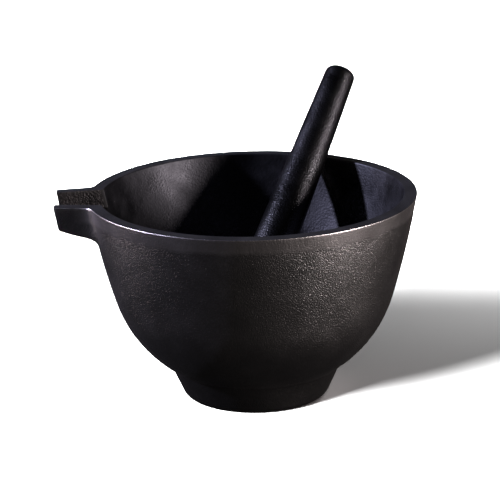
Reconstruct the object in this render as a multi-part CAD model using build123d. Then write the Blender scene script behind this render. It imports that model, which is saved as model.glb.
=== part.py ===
from build123d import *
import math
import os

# Cast-iron mortar with a pouring spout, and its one-piece cast-iron pestle.
# Millimetres, +Z up. The origin is the centre of the face that the foot stands on, and
# the spout points along -X.

# ---- bowl of the mortar ----
rim_radius = 75.0          # outside edge of the rim: a 150 mm bowl
mortar_height = 95.3       # resting face to the ground rim
rim_thickness = 6.0        # width of the flat rim
rim_edge = 0.6             # rounding of every edge round the top
wall_draft = 9.3           # degrees that the outside leans outward at the rim
wall_arc = 372.0           # long shallow curve of the upper wall
belly_height = 47.0        # where the upper wall turns into the belly
belly_arc = 59.0           # tight curve of the belly, down to the foot
belly_end_height = 6.5     # its arc ends inside the foot
inside_draft = 10.5        # the inside leans more, so the wall thickens downward
inside_arc = 330.0
floor_height = 15.0        # inside floor, above the resting face

# ---- foot: a tapered plinth with a rounded lower edge and a shallow hollow ----
foot_radius = 33.0         # sharp corner of the side with the resting face
foot_draft = 24.3          # degrees that its side leans outward
foot_rounding = 4.0
foot_top = 16.0            # buried in the bowl
foot_crease = 1.2          # small radius where the bowl meets the foot
hollow_radius = 20.0
hollow_depth = 2.5

# ---- spout: an open trough that tapers to its tip, cut through the wall ----
spout_reach = 89.7         # axis of the bowl to the tip
spout_tip_width = 31.0
spout_taper = 7.5          # degrees on each cheek
cheek_thickness = 5.4
spout_tip_height = 11.0    # rim down to the underside, at the tip
spout_tip_rake = 1.9       # how far the tip's lower edge sits behind its upper one
spout_slope = 18.0         # degrees that the underside falls towards the bowl
spout_root = 62.0          # its solid starts inside the wall, this far from the axis
spout_edge = 2.0           # rounding of the lower and tip edges
spout_blend = 6.0          # radius where it runs into the bowl
channel_tip_depth = 6.8
channel_root_depth = 10.5
channel_root = 64.0        # the channel opens into the bowl, this far from the axis
channel_corner = 2.5

# ---- pestle: a straight tapered rod with a ball for a grinding end ----
pestle_length = 160.0
grinding_radius = 11.2
grip_radius = 7.5          # at the top end
grip_rounding = 3.0
pestle_lean = 45.6         # degrees from vertical at rest, against the rim
pestle_heading = 58.2      # degrees from +X that it leans towards
ball_place = (-8.9, -8.7)  # plan position of the grinding end's ball
rest_gap = 0.3             # clearance of the ball above the floor


def on_circle(centre, radius, angle):
    """The point of a circle in the (r, z) plane at this many degrees below the horizontal."""
    turn = math.radians(angle)
    return (centre[0] + radius * math.cos(turn), centre[1] - radius * math.sin(turn))


def revolved(outline):
    """The solid that a closed outline in the (r, z) plane makes round the Z axis."""
    return revolve(Plane.XZ * make_face(outline), Axis.Z)


def outside_of_bowl():
    """Solid bowl: a long arc down from the rim, then the belly's arc to below the foot's top."""
    rim = (rim_radius, mortar_height)
    wall_centre = on_circle(rim, -wall_arc, wall_draft)
    turn = math.degrees(math.asin((wall_centre[1] - belly_height) / wall_arc))
    belly_top = on_circle(wall_centre, wall_arc, turn)
    belly_centre = on_circle(belly_top, -belly_arc, turn)
    end_turn = math.degrees(math.asin((belly_centre[1] - belly_end_height) / belly_arc))
    belly_end = on_circle(belly_centre, belly_arc, end_turn)
    return revolved([
        ThreePointArc(rim, on_circle(wall_centre, wall_arc, (wall_draft + turn) / 2), belly_top),
        ThreePointArc(belly_top, on_circle(belly_centre, belly_arc, (turn + end_turn) / 2), belly_end),
        Polyline(belly_end, (0, belly_end[1]), (0, mortar_height), rim),
    ])


def inside_arcs():
    """Centre of the upper inside arc, and the radius of the round floor that it runs into."""
    rim = (rim_radius - rim_thickness, mortar_height)
    centre = on_circle(rim, -inside_arc, inside_draft)
    rise = centre[1] - floor_height
    floor_arc = (inside_arc**2 - centre[0] ** 2 - rise**2) / (2 * (inside_arc - rise))
    return centre, floor_arc


def inside_of_bowl():
    """The hollow of the bowl: a long arc down from the rim, tangent to a round floor."""
    rim = (rim_radius - rim_thickness, mortar_height)
    centre, floor_arc = inside_arcs()
    floor_centre = (0, floor_height + floor_arc)
    turn = math.degrees(math.atan2(centre[1] - floor_centre[1], -centre[0]))
    floor_top = on_circle(centre, inside_arc, turn)
    return revolved([
        ThreePointArc(rim, on_circle(centre, inside_arc, (inside_draft + turn) / 2), floor_top),
        ThreePointArc(floor_top, on_circle(floor_centre, floor_arc, (turn + 90) / 2), (0, floor_height)),
        Polyline((0, floor_height), (0, mortar_height), rim),
    ])


def foot():
    """The plinth under the bowl, with its hollow, its lower edge rounded."""
    lean = math.tan(math.radians(foot_draft))
    outline = Polyline(
        (0, hollow_depth),
        (hollow_radius, hollow_depth),
        (hollow_radius + hollow_depth, 0),
        (foot_radius, 0),
        (foot_radius + foot_top * lean, foot_top),
        (0, foot_top),
        (0, hollow_depth),
    )
    side = make_face(outline)
    corner = side.vertices().sort_by_distance((foot_radius, 0))[0]
    return revolve(Plane.XZ * fillet(corner, foot_rounding), Axis.Z)


def trough(root, tip, tip_half_width, taper, side_view):
    """A block that widens from its tip towards the bowl, seen from the side as side_view."""
    root_half_width = tip_half_width + (tip - root) * math.tan(math.radians(taper))
    plan = make_face(Polyline(
        (-tip, tip_half_width), (-tip, -tip_half_width),
        (-root, -root_half_width), (-root, root_half_width), (-tip, tip_half_width),
    ))
    block = extrude(plan, mortar_height)
    return block & extrude(Plane.XZ * make_face(side_view), root_half_width, both=True)


def spout():
    """The spout's outside: raked tip, underside falling to the bowl, lower edges rounded."""
    tip_bottom = mortar_height - spout_tip_height
    lower_tip = (-spout_reach + spout_tip_rake, tip_bottom)
    fall = (spout_reach - spout_tip_rake - spout_root) * math.tan(math.radians(spout_slope))
    side_view = Polyline(
        (-spout_root, mortar_height), (-spout_reach, mortar_height), lower_tip,
        (-spout_root, tip_bottom - fall), (-spout_root, mortar_height),
    )
    block = trough(spout_root, spout_reach, spout_tip_width / 2, spout_taper, side_view)
    top, root = block.faces().sort_by(Axis.Z)[-1], block.faces().sort_by(Axis.X)[-1]
    kept_sharp = top.edges() + root.edges()
    rounded = [edge for edge in block.edges() if edge not in kept_sharp]
    return fillet(rounded, spout_edge)


def channel():
    """What the spout's trough removes, on past the tip and into the bowl."""
    fall = (channel_root_depth - channel_tip_depth) / (spout_reach - channel_root)
    tip, root = spout_reach + spout_tip_rake, channel_root - spout_blend
    tip_floor = mortar_height - channel_tip_depth + fall * spout_tip_rake
    root_floor = mortar_height - channel_root_depth - fall * spout_blend
    side_view = Polyline(
        (-root, mortar_height), (-tip, mortar_height), (-tip, tip_floor),
        (-root, root_floor), (-root, mortar_height),
    )
    half_width = spout_tip_width / 2 - cheek_thickness
    block = trough(root, tip, half_width, spout_taper, side_view)
    floor = block.faces().sort_by(Axis.Z)[0]
    corners = [edge for edge in floor.edges() if edge.length > spout_tip_width]
    return fillet(corners, channel_corner)


def mortar():
    """One casting: bowl, foot and spout, with the inside and the channel taken out."""
    bowl = outside_of_bowl() + foot()
    crease = bowl.edges().filter_by(GeomType.BSPLINE)
    bowl = fillet(crease, foot_crease)
    body = bowl + spout()
    spout_joint = (body.edges() - bowl.edges()).filter_by(GeomType.BSPLINE)
    body = fillet(spout_joint, spout_blend)
    body = body - inside_of_bowl() - channel()
    rim = body.faces().sort_by(Axis.Z)[-1]
    return fillet(rim.edges(), rim_edge)


def pestle():
    """A cone with a ball end and a rounded top, turned to its place against the rim."""
    taper = math.asin((grinding_radius - grip_radius) / (pestle_length - grinding_radius))
    ball_edge = (grinding_radius * math.cos(taper), grinding_radius * math.sin(taper))
    top = pestle_length - grinding_radius
    outline = [
        ThreePointArc((0, -grinding_radius), on_circle((0, 0), grinding_radius, 45), ball_edge),
        Polyline(ball_edge, (grip_radius, top), (0, top), (0, -grinding_radius)),
    ]
    side = make_face(outline)
    corner = side.vertices().sort_by_distance((grip_radius, top))[0]
    rod = revolve(Plane.XZ * fillet(corner, grip_rounding), Axis.Z)
    floor_arc = inside_arcs()[1]
    reach = floor_arc - grinding_radius - rest_gap
    drop = math.sqrt(reach**2 - ball_place[0] ** 2 - ball_place[1] ** 2)
    rest = Pos(*ball_place, floor_height + floor_arc - drop)
    return rest * Rot(0, 0, pestle_heading) * Rot(0, pestle_lean, 0) * rod


os.makedirs("parts", exist_ok=True)
export_step(mortar(), "parts/mortar.step")
export_step(pestle(), "parts/pestle.step")
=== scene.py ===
import bmesh, bpy, math
import numpy as np
from mathutils import Matrix, Vector


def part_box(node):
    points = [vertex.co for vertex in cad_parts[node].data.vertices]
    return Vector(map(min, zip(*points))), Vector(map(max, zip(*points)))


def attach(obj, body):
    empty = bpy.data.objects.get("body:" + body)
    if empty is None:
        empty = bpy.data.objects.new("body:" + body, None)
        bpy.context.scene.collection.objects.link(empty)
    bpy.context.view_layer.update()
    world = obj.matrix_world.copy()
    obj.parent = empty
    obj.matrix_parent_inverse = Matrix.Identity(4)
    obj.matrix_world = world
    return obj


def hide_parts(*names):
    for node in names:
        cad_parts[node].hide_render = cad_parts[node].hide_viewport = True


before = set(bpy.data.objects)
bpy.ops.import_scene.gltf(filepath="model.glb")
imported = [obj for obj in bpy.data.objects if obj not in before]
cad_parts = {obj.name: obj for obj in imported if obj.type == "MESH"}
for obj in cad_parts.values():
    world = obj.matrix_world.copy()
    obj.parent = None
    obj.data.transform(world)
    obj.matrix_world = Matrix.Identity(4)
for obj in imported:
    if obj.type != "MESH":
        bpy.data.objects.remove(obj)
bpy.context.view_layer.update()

# A cast-iron mortar with a pouring spout, and its iron pestle. The frame is in metres, with
# +Z up, the bowl's axis on Z and the spout along -X. The shape's own sizes are in mm.
MM = 0.001
HEIGHT = (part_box("mortar")[1] / MM)[2]         # the ground rim, above the resting face
PESTLE_BOTTOM = (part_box("pestle")[0] / MM)[2]


# ------------------------------------------------------------------ small helpers

def srgb(code):
    """An sRGB hex colour as the linear RGBA that a shader socket takes."""
    parts = [int(code[i:i + 2], 16) / 255 for i in (1, 3, 5)]
    return [c / 12.92 if c <= 0.04045 else ((c + 0.055) / 1.055) ** 2.4 for c in parts] + [1.0]


def add(tree, kind, links=(), values=(), **settings):
    """Adds a node: settings are its properties, values fill its inputs, links feed them."""
    node = tree.nodes.new(kind)
    for name, value in settings.items():
        setattr(node, name, value)
    for key, value in dict(values).items():
        node.inputs[key].default_value = value
    for key, source in dict(links).items():
        tree.links.new(source, node.inputs[key])
    return node


def circle_at(centre, radius, angle):
    """The point of a circle in the (r, z) plane at this many degrees below the horizontal."""
    turn = math.radians(angle)
    return centre[0] + radius * math.cos(turn), centre[1] - radius * math.sin(turn)


def new_mesh(name, points, faces):
    """A new piece from points in mm."""
    mesh = bpy.data.meshes.new(name)
    mesh.from_pydata([Vector(p) * MM for p in points], [], faces)
    mesh.update()
    piece = bpy.data.objects.new(name, mesh)
    bpy.context.scene.collection.objects.link(piece)
    return piece


def faced_outwards(mesh):
    """Turns every face of a closed mesh to point outwards."""
    work = bmesh.new()
    work.from_mesh(mesh)
    bmesh.ops.recalc_face_normals(work, faces=work.faces)
    work.to_mesh(mesh)
    work.free()


def made_plain(piece):
    """Replaces a piece's mesh by what its modifiers make of it, and takes them off."""
    evaluated = piece.evaluated_get(bpy.context.evaluated_depsgraph_get())
    mesh = bpy.data.meshes.new_from_object(evaluated)
    piece.modifiers.clear()
    piece.data = mesh
    mesh.shade_smooth()
    return piece


# ------------------------------------------------------------------ the mortar's own lines

RIM = 75.0                     # sharp outer edge of the rim
RIM_THICKNESS = 6.0
FLOOR = 15.0                   # lowest point of the inside
BELLY = 47.0                   # the outer wall turns in below this height
CREASE = (39.9, 15.0)          # where the bowl meets its foot
WALL_ARC, WALL_DRAFT = 372.0, math.radians(9.3)
BELLY_ARC = 59.0
INSIDE_ARC, INSIDE_DRAFT = 330.0, math.radians(10.5)

WALL_CENTRE = (RIM - WALL_ARC * math.cos(WALL_DRAFT), HEIGHT + WALL_ARC * math.sin(WALL_DRAFT))
BELLY_TURN = math.asin((WALL_CENTRE[1] - BELLY) / WALL_ARC)
BELLY_CENTRE = (WALL_CENTRE[0] + (WALL_ARC - BELLY_ARC) * math.cos(BELLY_TURN),
                BELLY + BELLY_ARC * math.sin(BELLY_TURN))
INSIDE_CENTRE = (RIM - RIM_THICKNESS - INSIDE_ARC * math.cos(INSIDE_DRAFT),
                 HEIGHT + INSIDE_ARC * math.sin(INSIDE_DRAFT))
# The round bottom is the sphere that stands on the floor's height and meets the inside arc.
DROP = INSIDE_CENTRE[1] - FLOOR
BOTTOM_RADIUS = (INSIDE_ARC ** 2 - INSIDE_CENTRE[0] ** 2 - DROP ** 2) / (2 * (INSIDE_ARC - DROP))
BOTTOM_CENTRE = FLOOR + BOTTOM_RADIUS
BOTTOM_EDGE = math.degrees(math.atan2(INSIDE_CENTRE[1] - BOTTOM_CENTRE, -INSIDE_CENTRE[0]))

SPOUT_REACH = 89.7             # how far the spout's top edge stands from the bowl's axis
SPOUT_HALF = 15.5              # half its width at the tip
CHANNEL_HALF = 10.1            # half the width of its channel
SPOUT_TAPER = math.tan(math.radians(7.5))
SPOUT_DEPTH = 11.0             # its height at the tip
SPOUT_RAKE = 1.9               # how far the tip leans in over that height
SPOUT_SLOPE = math.tan(math.radians(18))
CHANNEL_FLOOR = HEIGHT - 6.8   # the channel's floor at the tip
CHANNEL_FALL = 0.148           # how far it falls in each mm towards the bowl

# The foot below the crease, down its side, under its edge and into its hollow, to the axis.
FOOT = [(39.3, 14.0), (37.9, 11.0), (36.6, 8.0), (35.5, 5.5), (34.5, 3.2), (33.9, 1.8),
        (32.9, 0.7), (31.4, 0.1), (29.5, 0.0), (26.0, 0.0), (23.3, 0.0), (22.5, 0.0), (21.8, 0.7),
        (20.7, 1.9), (20.0, 2.5), (18.8, 2.5), (14.0, 2.5), (8.0, 2.5), (3.0, 2.5)]
HOLLOW = 2.5                   # height of the hollow's ceiling above the resting face

# The wall's levels. The upper ones follow the rim, the channel's floor and the spout's
# underside; below the spout they are plain heights.
RIM_EDGE = 0.6                 # the first level down, which keeps the rim's edge crisp
CHANNEL_CORNER = 2.2           # the level above the channel's floor, for its rounded corner
CHANNEL_BED = 1.3              # the level below the channel's floor
UNDERSIDE = 2.0                # the level above the spout's underside
LOWER_LEVELS = [73, 66, 60]

# The lines across the wall: two near each face of the bowl, then these out along the spout.
INNER_SKIN, OUTER_SKIN = 0.8, 0.6      # how far the second lines stand in from the faces
SPOUT_LINES = [80, 85.5]
TIP_SKIN = 1.5

GROUND, RUBBED, CAST, CHANNEL = 0, 1, 2, 3     # the mortar's finishes


def outer_radius(z):
    """The bowl's outside at this height: the wall's long arc, then the belly's."""
    centre, arc = (WALL_CENTRE, WALL_ARC) if z >= BELLY else (BELLY_CENTRE, BELLY_ARC)
    return centre[0] + math.sqrt(arc ** 2 - (z - centre[1]) ** 2)


def inner_radius(z):
    """The bowl's inside at this height, above its round bottom."""
    return INSIDE_CENTRE[0] + math.sqrt(INSIDE_ARC ** 2 - (z - INSIDE_CENTRE[1]) ** 2)


def column_lines():
    """The upright lines round the mortar: (side offset at the spout's tip, angle from the spout).

    The spout's lines have an offset, and the bowl's have None.
    """
    fan = [0, 4, 8, CHANNEL_HALF, 11, SPOUT_HALF - 1.2, SPOUT_HALF]
    bowl = np.radians(np.concatenate([[18], np.linspace(22.5, 337.5, 65), [342]]))
    right = [(y, fan_angle(y)) for y in fan]
    left = [(-y, -fan_angle(y)) for y in reversed(fan[1:])]
    return right + [(None, float(a)) for a in bowl] + left


def fan_side(offset, x):
    """How far a spout line stands to the side where it is x from the bowl's axis."""
    spread = SPOUT_TAPER * min(1, abs(offset) / CHANNEL_HALF) * (SPOUT_REACH - x)
    return offset + math.copysign(spread, offset) if offset else 0.0


def fan_at(offset, radius):
    """(x, y) where a spout line crosses this radius."""
    x = radius
    for _ in range(12):
        x = math.sqrt(radius ** 2 - fan_side(offset, x) ** 2)
    return x, fan_side(offset, x)


def fan_angle(offset):
    """The angle from the spout at which a spout line crosses the rim."""
    x, y = fan_at(offset, RIM)
    return math.atan2(y, x)


def level_height(level, x):
    """The height of one of the wall's levels, x from the bowl's axis along the spout."""
    x = max(x, RIM)
    floor = CHANNEL_FLOOR - CHANNEL_FALL * (SPOUT_REACH - x)
    under = HEIGHT - SPOUT_DEPTH - SPOUT_SLOPE * (SPOUT_REACH - SPOUT_RAKE - x)
    upper = [HEIGHT, HEIGHT - RIM_EDGE, floor + CHANNEL_CORNER, floor, floor - CHANNEL_BED,
             under + UNDERSIDE, under]
    return (upper + LOWER_LEVELS)[level]


def mortar_cage():
    """The mortar as a coarse closed cage, which subdivision rounds off.

    The wall and the spout are filled cells between upright lines, lines across the wall and
    levels; their open sides are the surface. Below them, rings close the bowl and the foot.
    """
    columns = column_lines()
    count = len(columns)
    step = columns[10][1] - columns[9][1]
    swell = 3 / (2 + math.cos(step))       # subdivision draws a ring in by this much
    points, index = [], {}

    def vertex(key, place):
        if key not in index:
            index[key] = len(points)
            points.append(place)
        return index[key]

    def around(column, radius, z, fan):
        """A point at this radius: on the spout's own line where fan is 1, upright where it is 0."""
        offset, angle = columns[column]
        x, y = radius * math.cos(angle), radius * math.sin(angle)
        if offset is not None and fan:
            fx, fy = fan_at(offset, radius)
            x, y = x + (fx - x) * fan, y + (fy - y) * fan
        return (-x * swell, y * swell, z)

    def wall_point(column, line, level):
        key = (column % count, line, level)
        if key in index:
            return index[key]
        offset = columns[column % count][0]
        if line <= 3:
            x = RIM
            for _ in range(4):
                z = level_height(level, x)
                inside = inner_radius(z)
                outside = outer_radius(z)
                radius = [inside, inside + INNER_SKIN, outside - OUTER_SKIN, outside][line]
                x = fan_at(offset, radius)[0] if offset is not None else RIM
            straight = 4 if line <= 1 else 6
            fan = min(1.0, max(0.0, 1 - 0.5 * (level - straight)))
            return vertex(key, around(column % count, radius, z, fan))
        x = SPOUT_REACH
        for _ in range(3):
            z = level_height(level, x)
            tip = SPOUT_REACH - SPOUT_RAKE * (HEIGHT - z) / SPOUT_DEPTH
            x = (SPOUT_LINES + [tip - TIP_SKIN, tip])[line - 4]
        return vertex(key, (-x, fan_side(offset, x), z))

    def filled(column, line, level):
        if not (0 <= line <= 6 and 0 <= level <= 8):
            return False
        ends = [columns[c % count][0] for c in (column, column + 1)]
        spout = None not in ends
        channel = spout and max(map(abs, ends)) <= CHANNEL_HALF
        if channel and level < 3:
            return False
        return line <= 2 or (spout and level <= 5)

    faces, zones = [], []

    def face(corners, zone):
        faces.append(corners)
        zones.append(zone)

    for column in range(count):
        for line in range(7):
            for level in range(9):
                if not filled(column, line, level):
                    continue
                c, n, k = column, line, level

                def corner(dc, dn, dk):
                    return wall_point(c + dc, n + dn, k + dk)

                if not filled(c, n - 1, k):
                    face([corner(0, 0, 0), corner(0, 0, 1), corner(1, 0, 1), corner(1, 0, 0)], RUBBED)
                if not filled(c, n + 1, k):
                    face([corner(0, 1, 0), corner(1, 1, 0), corner(1, 1, 1), corner(0, 1, 1)], CAST)
                if not filled(c, n, k - 1):
                    zone = GROUND if k == 0 else CHANNEL
                    face([corner(0, 0, 0), corner(1, 0, 0), corner(1, 1, 0), corner(0, 1, 0)], zone)
                if k < 8 and not filled(c, n, k + 1):
                    face([corner(0, 0, 1), corner(0, 1, 1), corner(1, 1, 1), corner(1, 0, 1)], CAST)
                for side in (-1, 1):
                    if not filled((c + side) % count, n, k):
                        edge = 0 if side < 0 else 1
                        offset = columns[(c + edge) % count][0]
                        zone = CHANNEL if abs(offset) <= CHANNEL_HALF else CAST
                        zone = GROUND if zone == CHANNEL and n == 0 else zone
                        face([corner(edge, 0, 0), corner(edge, 1, 0), corner(edge, 1, 1),
                              corner(edge, 0, 1)], zone)

    outside = [(outer_radius(z), z) for z in (55, 50, 45, 40.5, 36, 32, 28, 24.5, 21.5, 19, 17, 16)]
    # The first turn is left out, because the wall's lowest level already stands there.
    turns = np.linspace(BOTTOM_EDGE, 87, 16)[1:]
    inside = [circle_at((0, BOTTOM_CENTRE), BOTTOM_RADIUS, a) for a in turns]
    for rows, line, zone, pole in ((outside + [CREASE] + FOOT, 3, CAST, HOLLOW),
                                   (inside, 0, RUBBED, FLOOR)):
        ring = [wall_point(c, line, 9) for c in range(count)]
        for row, (radius, z) in enumerate(rows):
            below = [vertex((c, zone, "row", row), around(c, radius, z, 0)) for c in range(count)]
            for c in range(count):
                d = (c + 1) % count
                face([ring[c], ring[d], below[d], below[c]], zone)
            ring = below
        centre = vertex(("pole", zone), (0, 0, pole))
        for c in range(count):
            face([ring[c], ring[(c + 1) % count], centre], zone)
    return points, faces, zones


GROUND_OFF = 0.5               # mm at the top and at the foot that grinding made flat
SKIN_SEED = 7.0
FINER = 3.2                    # how many times smaller the pimples are than the uneven patches


def cast_skin(materials):
    """Subdivides a cage, makes its cast faces as uneven as a sand mould, and paints each zone."""
    tree = bpy.data.node_groups.new("cast_skin", "GeometryNodeTree")
    tree.interface.new_socket("Cage", in_out="INPUT", socket_type="NodeSocketGeometry")
    sizes = {"Unevenness": 0.08 * MM, "Patch Size": 12 * MM, "Pimples": 0.04 * MM, "Seed": 4.0}
    sockets = {}
    for label, value in sizes.items():
        socket = tree.interface.new_socket(label, in_out="INPUT", socket_type="NodeSocketFloat")
        socket.default_value = value
        sockets[label] = socket.identifier
    tree.interface.new_socket("Skin", in_out="OUTPUT", socket_type="NodeSocketGeometry")
    given = add(tree, "NodeGroupInput").outputs
    smooth = add(tree, "GeometryNodeSubdivisionSurface", {"Mesh": given["Cage"]}, {"Level": 2})
    place = add(tree, "GeometryNodeInputPosition").outputs["Position"]
    normal = add(tree, "GeometryNodeInputNormal").outputs["Normal"]
    cast = add(tree, "GeometryNodeInputNamedAttribute", values={"Name": "cast"}, data_type="FLOAT")
    scale = add(tree, "ShaderNodeMath", {1: given["Patch Size"]}, {0: 1.0}, operation="DIVIDE")
    finer = add(tree, "ShaderNodeMath", {0: scale.outputs[0]}, {1: FINER}, operation="MULTIPLY")
    heights = []
    for frequency, height in ((scale, "Unevenness"), (finer, "Pimples")):
        noise = add(tree, "ShaderNodeTexNoise",
                    {"Vector": place, "W": given["Seed"], "Scale": frequency.outputs[0]},
                    {"Detail": 1.0}, noise_dimensions="4D")
        centred = add(tree, "ShaderNodeMath", {0: noise.outputs[0]}, {1: 0.5}, operation="SUBTRACT")
        heights.append(add(tree, "ShaderNodeMath", {0: centred.outputs[0], 1: given[height]},
                           operation="MULTIPLY").outputs[0])
    height = add(tree, "ShaderNodeMath", {0: heights[0], 1: heights[1]}, operation="ADD")
    masked = add(tree, "ShaderNodeMath", {0: height.outputs[0], 1: cast.outputs["Attribute"]},
                 operation="MULTIPLY")
    offset = add(tree, "ShaderNodeVectorMath", {0: normal, "Scale": masked.outputs[0]}, operation="SCALE")
    moved = add(tree, "GeometryNodeSetPosition",
                {"Geometry": smooth.outputs["Mesh"], "Offset": offset.outputs["Vector"]})
    skin = add(tree, "GeometryNodeRealizeInstances", {"Geometry": moved.outputs["Geometry"]})
    zone = add(tree, "GeometryNodeInputNamedAttribute", values={"Name": "zone"}, data_type="INT")
    for number, material in materials.items():
        own = add(tree, "FunctionNodeCompare", {2: zone.outputs["Attribute"]}, {3: number},
                  data_type="INT", operation="EQUAL")
        skin = add(tree, "GeometryNodeSetMaterial",
                   {"Geometry": skin.outputs["Geometry"], "Selection": own.outputs[0]},
                   {"Material": material})
    add(tree, "NodeGroupOutput", {"Skin": skin.outputs["Geometry"]})
    return tree, sockets


def make_mortar(materials):
    """The whole casting: cage, skin and finishes."""
    points, faces, zones = mortar_cage()
    piece = new_mesh("mortar_casting", points, faces)
    mesh = piece.data
    faced_outwards(mesh)
    mesh.attributes.new("zone", "INT", "FACE").data.foreach_set("value", zones)
    # The rim and the ring that it stands on were ground flat, so the unevenness stops there.
    cast = [0.0 if z > HEIGHT - GROUND_OFF or z < GROUND_OFF else 1.0 for x, y, z in points]
    mesh.attributes.new("cast", "FLOAT", "POINT").data.foreach_set("value", cast)
    tree, sockets = cast_skin(materials)
    modifier = piece.modifiers.new("cast_skin", "NODES")
    modifier.node_group = tree
    modifier[sockets["Seed"]] = SKIN_SEED
    return made_plain(piece)


# ------------------------------------------------------------------ the pestle

PESTLE_LENGTH = 160.0
BALL_RADIUS = 11.2             # its grinding end
GRIP_RADIUS = 7.5              # its upper end
GRIP_ROUNDING = 3.0
FACETS = 96                    # flats round the rod
SEAM = 0.002                   # points closer than this are one, at the seam and the poles
LEAN = math.radians(45.6)      # from the vertical, towards the heading
HEADING = math.radians(58.2)
# Its grinding end's centre: the CAD box gives its height, and the plan place is its own.
BALL_PLACE = (-8.9, -8.7, PESTLE_BOTTOM + BALL_RADIUS)


def pestle_profile():
    """(r, z) from the ball's pole to the middle of the flat top, z from the ball's centre."""
    top = PESTLE_LENGTH - BALL_RADIUS
    taper = math.degrees(math.asin((BALL_RADIUS - GRIP_RADIUS) / top))
    ball = [circle_at((0, 0), BALL_RADIUS, a) for a in np.linspace(90, -taper, 20)]
    corner = (GRIP_RADIUS - GRIP_ROUNDING, top - GRIP_ROUNDING)
    cap = [circle_at(corner, GRIP_ROUNDING, a) for a in np.linspace(-taper, -90, 8)]
    start, end = np.array(ball[-1]), np.array(cap[0])
    side = [tuple(start + (end - start) * t) for t in np.linspace(0, 1, 70)[1:-1]]
    return ball + side + cap + [(3.0, top), (1.2, top), (0.0, top)]


def turned(material):
    """Turns the profile that comes in as a chain of points about Z, and closes it at both poles."""
    tree = bpy.data.node_groups.new("turned", "GeometryNodeTree")
    tree.interface.new_socket("Profile", in_out="INPUT", socket_type="NodeSocketGeometry")
    count = tree.interface.new_socket("Facets", in_out="INPUT", socket_type="NodeSocketInt")
    count.default_value = FACETS
    floats = {"Unevenness": 0.12 * MM, "Patch Size": 9 * MM, "Seed": 2.0}
    sockets = {"Facets": count.identifier}
    for label, value in floats.items():
        socket = tree.interface.new_socket(label, in_out="INPUT", socket_type="NodeSocketFloat")
        socket.default_value = value
        sockets[label] = socket.identifier
    tree.interface.new_socket("Turned", in_out="OUTPUT", socket_type="NodeSocketGeometry")
    given = add(tree, "NodeGroupInput").outputs
    size = add(tree, "GeometryNodeAttributeDomainSize", {"Geometry": given["Profile"]})
    rings = size.outputs["Point Count"]
    columns = add(tree, "ShaderNodeMath", {0: given["Facets"]}, {1: 1.0}, operation="ADD").outputs[0]
    grid = add(tree, "GeometryNodeMeshGrid", {"Vertices X": columns, "Vertices Y": rings})
    index = add(tree, "GeometryNodeInputIndex").outputs[0]
    column = add(tree, "ShaderNodeMath", {0: index, 1: rings}, operation="DIVIDE")
    column = add(tree, "ShaderNodeMath", {0: column.outputs[0]}, operation="FLOOR")
    part = add(tree, "ShaderNodeMath", {0: column.outputs[0], 1: given["Facets"]}, operation="DIVIDE")
    angle = add(tree, "ShaderNodeMath", {0: part.outputs[0]}, {1: math.tau},
                operation="MULTIPLY").outputs[0]
    ring = add(tree, "ShaderNodeMath", {0: index, 1: rings}, operation="MODULO")
    place = add(tree, "GeometryNodeInputPosition").outputs[0]
    sample = add(tree, "GeometryNodeSampleIndex",
                 {"Geometry": given["Profile"], "Value": place, "Index": ring.outputs[0]},
                 data_type="FLOAT_VECTOR")
    split = add(tree, "ShaderNodeSeparateXYZ", {0: sample.outputs["Value"]})
    across = []
    for operation in ("COSINE", "SINE"):
        wave = add(tree, "ShaderNodeMath", {0: angle}, operation=operation)
        across.append(add(tree, "ShaderNodeMath", {0: wave.outputs[0], 1: split.outputs["X"]},
                          operation="MULTIPLY").outputs[0])
    point = add(tree, "ShaderNodeCombineXYZ", {"X": across[0], "Y": across[1], "Z": split.outputs["Z"]})
    spun = add(tree, "GeometryNodeSetPosition",
               {"Geometry": grid.outputs["Mesh"], "Position": point.outputs[0]})
    closed = add(tree, "GeometryNodeMergeByDistance", {"Geometry": spun.outputs[0]},
                 {"Distance": SEAM * MM})
    scale = add(tree, "ShaderNodeMath", {1: given["Patch Size"]}, {0: 1.0}, operation="DIVIDE")
    noise = add(tree, "ShaderNodeTexNoise",
                {"Vector": place, "W": given["Seed"], "Scale": scale.outputs[0]}, {"Detail": 1.0},
                noise_dimensions="4D")
    centred = add(tree, "ShaderNodeMath", {0: noise.outputs[0]}, {1: 0.5}, operation="SUBTRACT")
    height = add(tree, "ShaderNodeMath", {0: centred.outputs[0], 1: given["Unevenness"]},
                 operation="MULTIPLY")
    normal = add(tree, "GeometryNodeInputNormal").outputs[0]
    offset = add(tree, "ShaderNodeVectorMath", {0: normal, "Scale": height.outputs[0]}, operation="SCALE")
    skin = add(tree, "GeometryNodeSetPosition",
               {"Geometry": closed.outputs[0], "Offset": offset.outputs["Vector"]})
    solid = add(tree, "GeometryNodeRealizeInstances", {"Geometry": skin.outputs[0]})
    painted = add(tree, "GeometryNodeSetMaterial", {"Geometry": solid.outputs[0]}, {"Material": material})
    add(tree, "NodeGroupOutput", {"Turned": painted.outputs[0]})
    return tree, sockets


# The pestle's own frame: Z along the rod, from the ball's centre.
PESTLE_TURN = Matrix.Rotation(HEADING, 4, "Z") @ Matrix.Rotation(LEAN, 4, "Y")
PESTLE_FRAME = Matrix.Translation(Vector(BALL_PLACE) * MM) @ PESTLE_TURN
PESTLE_FACE = tuple(PESTLE_TURN.inverted().to_euler("XYZ"))


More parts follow.
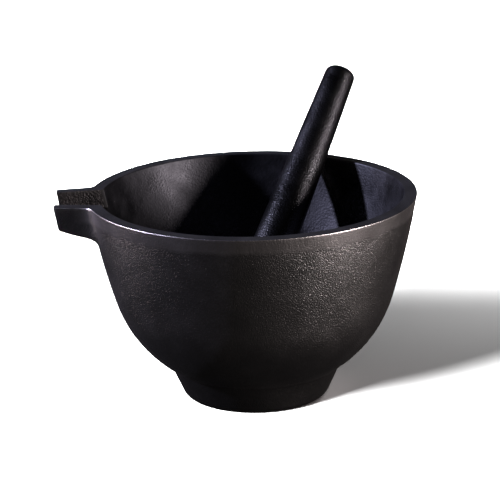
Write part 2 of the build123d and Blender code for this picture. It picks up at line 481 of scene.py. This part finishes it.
def make_pestle(material):
    """The rod, turned from its profile and laid in its place against the rim."""
    profile = pestle_profile()
    mesh = bpy.data.meshes.new("pestle_rod")
    chain = [(i, i + 1) for i in range(len(profile) - 1)]
    mesh.from_pydata([(r * MM, 0, z * MM) for r, z in profile], chain, [])
    piece = bpy.data.objects.new("pestle_rod", mesh)
    bpy.context.scene.collection.objects.link(piece)
    tree, sockets = turned(material)
    modifier = piece.modifiers.new("turned", "NODES")
    modifier.node_group = tree
    modifier[sockets["Facets"]] = FACETS
    made_plain(piece)
    faced_outwards(piece.data)
    piece.data.transform(PESTLE_FRAME)
    return piece


# ------------------------------------------------------------------ finishes

CLOUD = 13                     # mm across the patches where the oil baked on unevenly


def iron(name, base, roughness, grain, depth, patchiness=0.06, mottle=0.28,
         metal=1.0, under_rim=False, turn=None):
    """Seasoned cast iron: oil baked on to iron until it is nearly black.

    What reaches the eye is a soft, dark metallic gloss, broken up by the grains that the mould's
    sand left. grain is their width and depth their height, in mm. patchiness is how far the
    gloss changes from place to place, and mottle how far the tone does. metal is under 1 where
    the oil lies thick. under_rim adds the outside's marks: painted shade towards the foot, a
    paler filed band under the rim that also carries a painted highlight, and nicks. turn sets
    the pattern in line with a leaning piece.
    """
    material = bpy.data.materials.new(name)
    material.use_nodes = True
    tree = material.node_tree
    tree.nodes.clear()
    place = add(tree, "ShaderNodeTexCoord").outputs["Object"]
    if turn:
        place = add(tree, "ShaderNodeMapping", {"Vector": place}, {"Rotation": turn}).outputs[0]
    coarse = add(tree, "ShaderNodeTexNoise", {"Vector": place},
                 {"Scale": 1 / (1.4 * grain * MM), "Detail": 2.0, "Roughness": 0.7})
    pits = add(tree, "ShaderNodeTexVoronoi", {"Vector": place},
               {"Scale": 1 / (1.3 * grain * MM), "Randomness": 1.0}, feature="F1")
    clouds = add(tree, "ShaderNodeTexNoise", {"Vector": place},
                 {"Scale": 1 / (CLOUD * MM), "Detail": 5.0, "Roughness": 0.6})
    domes = add(tree, "ShaderNodeMath", {0: pits.outputs["Distance"]}, {1: -0.6}, operation="MULTIPLY")
    height = add(tree, "ShaderNodeMath", {0: coarse.outputs[0], 1: domes.outputs[0]},
                 operation="ADD").outputs[0]
    gloss = add(tree, "ShaderNodeMapRange", {"Value": clouds.outputs[0]},
                {"From Min": 0.3, "From Max": 0.7, "To Min": roughness - patchiness,
                 "To Max": roughness + patchiness}).outputs[0]
    colour = srgb(base)
    tone = add(tree, "ShaderNodeMixRGB", {"Fac": clouds.outputs[0]},
               {"Color1": [c * (1 - mottle) for c in colour[:3]] + [1],
                "Color2": [c * (1 + mottle) for c in colour[:3]] + [1]}).outputs[0]
    if under_rim:
        # Painted shade: the tone darkens towards the foot.
        tone = painted_shade_to_foot(tree, place, tone)
        # The filed band's paler tone also carries a painted highlight.
        height, tone = dressed_band_and_highlight(tree, place, height, tone)
        tone = nicks(tree, place, tone)
    bump = add(tree, "ShaderNodeBump", {"Height": height}, {"Strength": 1.0, "Distance": depth * MM})
    shader = add(tree, "ShaderNodeBsdfPrincipled",
                 {"Base Color": tone, "Roughness": gloss, "Normal": bump.outputs[0]},
                 {"Metallic": metal})
    add(tree, "ShaderNodeOutputMaterial", {"Surface": shader.outputs[0]})
    return material


FOOT_SHADE_BOTTOM, FOOT_SHADE_TOP = 10, 46      # heights between which the painted shade fades out


def painted_shade_to_foot(tree, place, tone):
    """Painted shade: the tone darkens down the belly's underside to the foot, blackest at the bottom,
    where they face down and away from the lights.
    """
    split = add(tree, "ShaderNodeSeparateXYZ", {0: place})
    unshaded = add(tree, "ShaderNodeMapRange", {"Value": split.outputs["Z"]},
               {"From Min": FOOT_SHADE_BOTTOM * MM, "From Max": FOOT_SHADE_TOP * MM,
                "To Min": 0.58, "To Max": 1.0}).outputs[0]
    return add(tree, "ShaderNodeVectorMath", {0: tone, "Scale": unshaded}, operation="SCALE").outputs[0]


BAND = 6.5                     # depth of the smoother band under the rim, where it was dressed
WANDER = 3                     # how far the band's lower edge strays
SPOUT_START = 6                # how far out along the spout it fades
STROKE = 0.8                   # width of the file's strokes


def dressed_band_and_highlight(tree, place, height, tone):
    """Under the rim the file ran over: shallower grain, short upright strokes and a paler tone, which is
    partly the band's own and partly a painted highlight.
    """
    split = add(tree, "ShaderNodeSeparateXYZ", {0: place})
    wander = add(tree, "ShaderNodeTexNoise", {"Vector": place}, {"Scale": 1 / (9 * MM), "Detail": 2.0})
    shift = add(tree, "ShaderNodeMath", {0: wander.outputs[0]}, {1: WANDER * MM}, operation="MULTIPLY")
    level = add(tree, "ShaderNodeMath", {0: split.outputs["Z"], 1: shift.outputs[0]}, operation="ADD")
    edge = (HEIGHT - BAND + WANDER / 2) * MM
    band = add(tree, "ShaderNodeMapRange", {"Value": level.outputs[0]},
               {"From Min": edge - 1.2 * MM, "From Max": edge + 0.8 * MM}).outputs[0]
    # The strokes stop where the spout leaves the bowl.
    on_bowl = add(tree, "ShaderNodeMapRange", {"Value": split.outputs["X"]},
                  {"From Min": -(RIM + SPOUT_START) * MM, "From Max": -RIM * MM}).outputs[0]
    band = add(tree, "ShaderNodeMath", {0: band, 1: on_bowl}, operation="MULTIPLY").outputs[0]
    upright = add(tree, "ShaderNodeMapping", {"Vector": place}, {"Scale": (1.0, 1.0, 0.14)})
    strokes = add(tree, "ShaderNodeTexNoise", {"Vector": upright.outputs[0]},
                  {"Scale": 1 / (STROKE * MM), "Detail": 1.0, "Roughness": 0.5}).outputs[0]
    softer = add(tree, "ShaderNodeMath", {0: height}, {1: 0.45}, operation="MULTIPLY")
    shallow = add(tree, "ShaderNodeMath", {0: strokes}, {1: 0.4}, operation="MULTIPLY")
    both = add(tree, "ShaderNodeMath", {0: softer.outputs[0], 1: shallow.outputs[0]}, operation="ADD")
    height = add(tree, "ShaderNodeMix", {0: band, 2: height, 3: both.outputs[0]}).outputs[0]
    # The band's tone is raised about 2.15 times: partly the filed band's own paler tone, partly a painted
    # highlight.
    paler = add(tree, "ShaderNodeMixRGB", {"Color1": tone},
                {"Fac": 1.0, "Color2": (2.15, 2.12, 2.12, 1)}, blend_type="MULTIPLY").outputs[0]
    tone = add(tree, "ShaderNodeMixRGB", {"Fac": band, "Color1": tone, "Color2": paler}).outputs[0]
    return height, tone


# Nicks that show bare metal: (azimuth, height, length, width), degrees and mm.
NICKS = [(302, 86.3, 6.0, 0.55), (213, 83.5, 6.5, 0.45), (252, 81.5, 0.8, 0.8), (263, 71.0, 0.7, 0.7),
         (290, 74.0, 0.6, 0.6), (240, 66.0, 0.6, 0.6), (75, 80.0, 5.0, 0.5)]


def nicks(tree, place, tone):
    """Paints each nick as a small ellipsoid of paler metal that reaches through the surface."""
    worn = None
    for azimuth, z, length, width in NICKS:
        turn = math.radians(azimuth)
        radius = outer_radius(z)
        centred = add(tree, "ShaderNodeVectorMath", {0: place},
                      {1: (radius * math.cos(turn) * MM, radius * math.sin(turn) * MM, z * MM)},
                      operation="SUBTRACT")
        along = add(tree, "ShaderNodeMapping", {"Vector": centred.outputs[0]},
                    {"Rotation": (0, 0, math.pi / 2 - turn + math.pi)})
        sized = add(tree, "ShaderNodeVectorMath", {0: along.outputs[0]},
                    {1: (2 / (length * MM), 0.5 / MM, 2 / (width * MM))}, operation="MULTIPLY")
        far = add(tree, "ShaderNodeVectorMath", {0: sized.outputs[0]}, operation="LENGTH")
        mask = add(tree, "ShaderNodeMapRange", {"Value": far.outputs["Value"]},
                   {"From Min": 0.6, "From Max": 1.2, "To Min": 1.0, "To Max": 0.0}).outputs[0]
        worn = mask if worn is None else add(tree, "ShaderNodeMath", {0: worn, 1: mask},
                                             operation="MAXIMUM").outputs[0]
    return add(tree, "ShaderNodeMixRGB", {"Fac": worn, "Color1": tone},
               {"Color2": srgb("#c9c4c0")}).outputs[0]


# ------------------------------------------------------------------ the stand, lights and camera

def direction(azimuth, elevation):
    """The unit vector towards an azimuth from +X and a height above the horizon, in degrees."""
    a, e = math.radians(azimuth), math.radians(elevation)
    return Vector((math.cos(a) * math.cos(e), math.sin(a) * math.cos(e), math.sin(e)))


def lamp(name, azimuth, elevation, distance, size, strength, colour, aim=(0, 0, 0.06), spread=180):
    """A round soft light. strength is the light that reaches the object, whatever its distance."""
    data = bpy.data.lights.new(name, "AREA")
    data.shape = "DISK"
    data.size = size
    data.energy = strength * distance ** 2
    data.color = srgb(colour)[:3]
    data.spread = math.radians(spread)
    towards = direction(azimuth, elevation)
    piece = bpy.data.objects.new(name, data)
    piece.matrix_world = (Matrix.Translation(Vector(aim) + towards * distance)
                          @ towards.to_track_quat("Z", "Y").to_matrix().to_4x4())
    bpy.context.scene.collection.objects.link(piece)
    return piece


def make_floor():
    """A white card that the iron doesn't reflect, so that the iron stays black."""
    mesh = bpy.data.meshes.new("floor")
    mesh.from_pydata([(-3, -3, 0), (3, -3, 0), (3, 6, 0), (-3, 6, 0)], [], [(0, 1, 2, 3)])
    floor = bpy.data.objects.new("floor", mesh)
    bpy.context.scene.collection.objects.link(floor)
    material = bpy.data.materials.new("white_card")
    material.use_nodes = True
    shader = material.node_tree.nodes["Principled BSDF"]
    shader.inputs["Base Color"].default_value = srgb("#f2f2f2")
    shader.inputs["Roughness"].default_value = 0.9
    shader.inputs["Specular IOR Level"].default_value = 0.0
    mesh.materials.append(material)
    floor.visible_diffuse = False
    floor.visible_glossy = False
    return floor


def only_on(light, *pieces):
    """The light falls on these pieces only."""
    group = bpy.data.collections.new(light.name + "_on")
    for piece in pieces:
        group.objects.link(piece)
    light.light_linking.receiver_collection = group


VIEW_TURN = 1.5                # the camera's azimuth from the -Y axis, in degrees
VIEW_UP = 17.25                # its height above the horizon
VIEW_ROLL = -1.36
VIEW_DISTANCE = 1.0
VIEW_LENS = 157.06             # mm, on a 36 mm wide sensor
VIEW_TARGET = Vector((-0.00158, 0, 0.0679))


def make_camera():
    """The camera, which looks at VIEW_TARGET from the front and a little above."""
    turn, up, roll = map(math.radians, (VIEW_TURN, VIEW_UP, VIEW_ROLL))
    forward = Vector((math.sin(turn) * math.cos(up), math.cos(turn) * math.cos(up), -math.sin(up)))
    right = forward.cross(Vector((0, 0, 1))).normalized()
    above = right.cross(forward)
    c, s = math.cos(roll), math.sin(roll)
    basis = Matrix((c * right + s * above, c * above - s * right, -forward)).transposed()
    data = bpy.data.cameras.new("camera")
    data.lens = VIEW_LENS
    data.sensor_width = 36
    data.clip_end = 20
    camera = bpy.data.objects.new("camera", data)
    camera.matrix_world = Matrix.Translation(VIEW_TARGET - forward * VIEW_DISTANCE) @ basis.to_4x4()
    bpy.context.scene.collection.objects.link(camera)
    bpy.context.scene.camera = camera


def make_world():
    """White to the camera, and a dim even light to everything else."""
    world = bpy.data.worlds.new("studio")
    world.use_nodes = True
    tree = world.node_tree
    tree.nodes.clear()
    ray = add(tree, "ShaderNodeLightPath").outputs["Is Camera Ray"]
    dim = add(tree, "ShaderNodeBackground", values={"Color": srgb("#ffffff"), "Strength": 0.009})
    white = add(tree, "ShaderNodeBackground", values={"Color": srgb("#ffffff"), "Strength": 1.0})
    mixed = add(tree, "ShaderNodeMixShader", {0: ray, 1: dim.outputs[0], 2: white.outputs[0]})
    add(tree, "ShaderNodeOutputWorld", {"Surface": mixed.outputs[0]})
    bpy.context.scene.world = world


# Filed flat and then oiled: the dullest of the finishes, with next to no grain.
ground_rim = iron("seasoned_iron_ground", "#444344", 0.74, 0.5, 0.04)
# Rubbed by the pestle: fine, and mottled where the oil has worn and been baked on again.
rubbed_inside = iron("seasoned_iron_rubbed", "#333236", 0.46, 0.8, 0.10,
                     patchiness=0.12, mottle=0.6, metal=0.92)
# As it left the sand: crisp small grains that sparkle where the light strikes along them. They
# are drawn a little coarser than the sand itself, so that they show.
sand_cast = iron("seasoned_iron_sand_cast", "#999494", 0.32, 0.42, 0.18,
                 patchiness=0.02, mottle=0.1, under_rim=True)
# Out of reach of the file and the pestle: coarse and dull, and darker than the outside as painted shade
# in the spout's channel.
shaded_channel_iron = iron("seasoned_iron_channel_shaded", "#4a4748", 0.46, 0.7, 0.3)
# Smoothed and often held: narrow bright streaks along the rod.
pestle_iron = iron("seasoned_iron_rod", "#414043", 0.31, 0.62, 0.17, turn=PESTLE_FACE)

mortar = make_mortar({GROUND: ground_rim, RUBBED: rubbed_inside,
                      CAST: sand_cast, CHANNEL: shaded_channel_iron})
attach(mortar, "mortar")
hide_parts("mortar")
pestle = make_pestle(pestle_iron)
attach(pestle, "pestle")
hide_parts("pestle")

floor = make_floor()
make_camera()
make_world()
bpy.context.scene.view_settings.view_transform = "Standard"

# The iron's own lights: a small cool window high on the spout's side, a broad one low on the
# same side, and a warm one low to the right.
iron_lights = [lamp("cool_window", 179, 27.5, 2.0, 0.14, 18.5, "#dcdfff"),
               lamp("left_window", 171, 2, 1.5, 0.7, 2.7, "#fbeef4"),
               lamp("right_window", 331.5, 7, 1.5, 0.5, 14, "#fff6f4")]
for light in iron_lights:
    only_on(light, mortar, pestle)
# The card's own lights: one from the front left for the long shadow, one that fills it from
# behind, and one that washes out the card's far part.
card_lights = [lamp("card_light", 220.5, 20, 2.0, 0.55, 80, "#ffffff", aim=(0.05, 0, 0)),
               lamp("card_fill", 60, 45, 0.2, 0.1, 6, "#ffffff", aim=(0.12, 0.1, 0)),
               lamp("card_wash", 90, 90, 1.0, 1.6, 60, "#ffffff", aim=(0.2, 0.995, 0), spread=12)]
for light in card_lights:
    only_on(light, floor)
